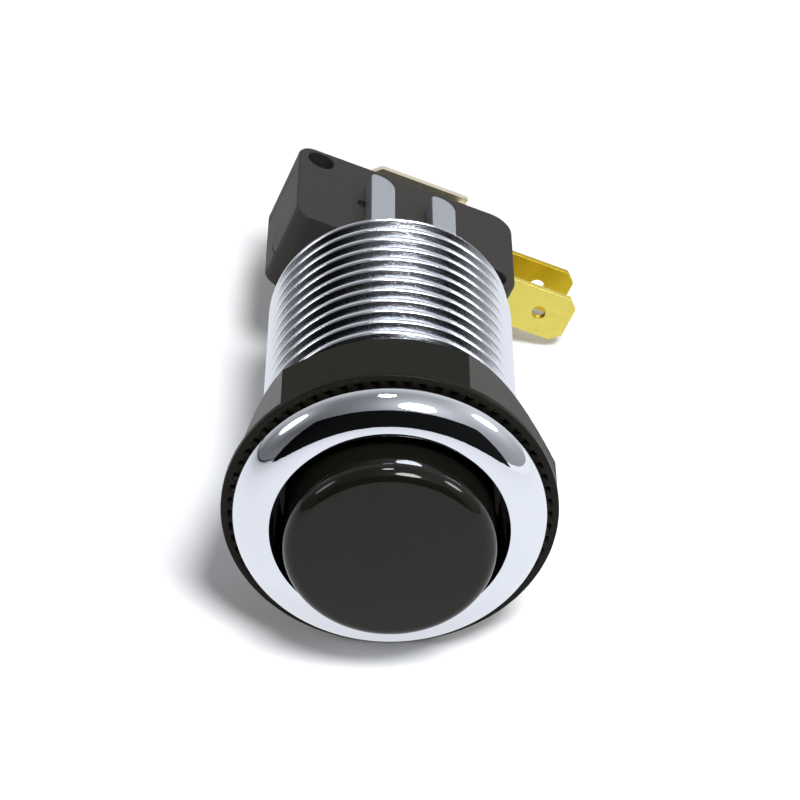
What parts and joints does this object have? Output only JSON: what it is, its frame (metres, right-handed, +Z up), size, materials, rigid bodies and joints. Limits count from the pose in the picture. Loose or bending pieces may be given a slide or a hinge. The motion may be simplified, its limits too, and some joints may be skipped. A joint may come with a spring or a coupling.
{
  "type": "arcade push button",
  "caption": "Panel push button with a chromed bezel, black plunger, threaded barrel, toothed lock nut and a snap-action switch with brass tabs.",
  "frame": {"origin": "on the button's axis, in the plane of the bezel's underside, where it seats on a panel", "axes": "+Y along the button's axis from the bezel to the switch, so the plunger faces -Y and is pressed along +Y; +Z up as the button lies on its side"},
  "size_m": [0.0404, 0.0724, 0.0354],
  "materials": {
    "chrome_plating": "bright chrome plating on plastic",
    "black_plastic": "glossy moulded black",
    "spring_steel": "drawn spring wire",
    "nut_plastic": "satin moulded black",
    "case_plastic": "matte moulded dark grey",
    "actuator_plastic": "satin moulded red",
    "blade_copper": "rolled copper alloy",
    "contact_silver": "bright silver alloy",
    "tab_brass": "stamped brass"
  },
  "bodies": {
    "body": {"housing": "chrome_plating", "return_spring": "spring_steel", "switch_cover": "case_plastic", "switch_base": "case_plastic", "snap_leaf": "blade_copper", "normally_closed_terminal": "tab_brass", "normally_open_terminal": "tab_brass", "normally_closed_contact": "contact_silver", "normally_open_contact": "contact_silver", "common_terminal": "tab_brass"},
    "plunger_body": {"plunger": "black_plastic"},
    "nut_body": {"lock_nut": "nut_plastic"},
    "actuator_body": {"switch_actuator": "actuator_plastic"},
    "blade_body": {"contact_blade": "blade_copper", "moving_contact": "contact_silver"}
  },
  "joints": [
    {"name": "plunger_press", "type": "slide", "parent": "body", "child": "plunger_body", "axis": [0, 1, 0], "range_m": [0, 0.002], "stiffness_N_per_m": 250, "springref_m": -0.004, "deforming": ["return_spring"]},
    {"name": "actuator_press", "type": "slide", "parent": "body", "child": "actuator_body", "axis": [0, 1, 0], "range_m": [0, 0.002], "deforming": ["snap_leaf"]},
    {"name": "blade_swing", "type": "hinge", "parent": "body", "child": "blade_body", "pos_m": [-0.01103, 0.05255, 0.00419], "axis": [0.3551, 0, 0.9348], "range_deg": [0, 2.3]},
    {"name": "nut_travel", "type": "slide", "parent": "body", "child": "nut_body", "axis": [0, 1, 0], "range_m": [0, 0.02]}
  ],
  "couplings": [
    {"joint": "actuator_press", "follows": "plunger_press", "ratio": 1},
    {"joint": "blade_swing", "follows": "plunger_press", "rad_per_m": 20}
  ]
}
